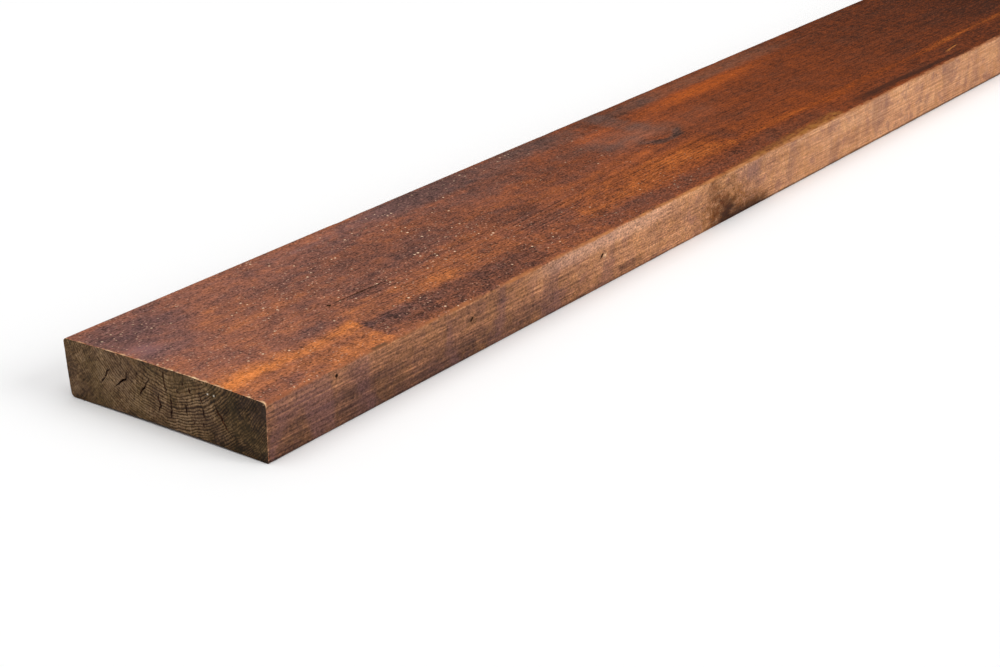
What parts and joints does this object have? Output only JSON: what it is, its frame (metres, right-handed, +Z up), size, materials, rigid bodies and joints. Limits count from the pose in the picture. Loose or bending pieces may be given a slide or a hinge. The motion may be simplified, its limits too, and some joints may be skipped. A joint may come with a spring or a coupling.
{
  "type": "decking board",
  "caption": "Planed softwood decking board with a worn red-brown stain, a slightly cupped section and eased long edges, cut square at both ends.",
  "frame": {"origin": "middle of the board's length and width, on the surface that it lies on", "axes": "+X along the length, +Y across the width to the left as seen from the end at -X, +Z up through the show face"},
  "size_m": [1.8, 0.12, 0.029],
  "materials": {
    "stained_pine": "satin"
  },
  "bodies": {
    "root": {"board": "stained_pine"}
  },
  "joints": []
}
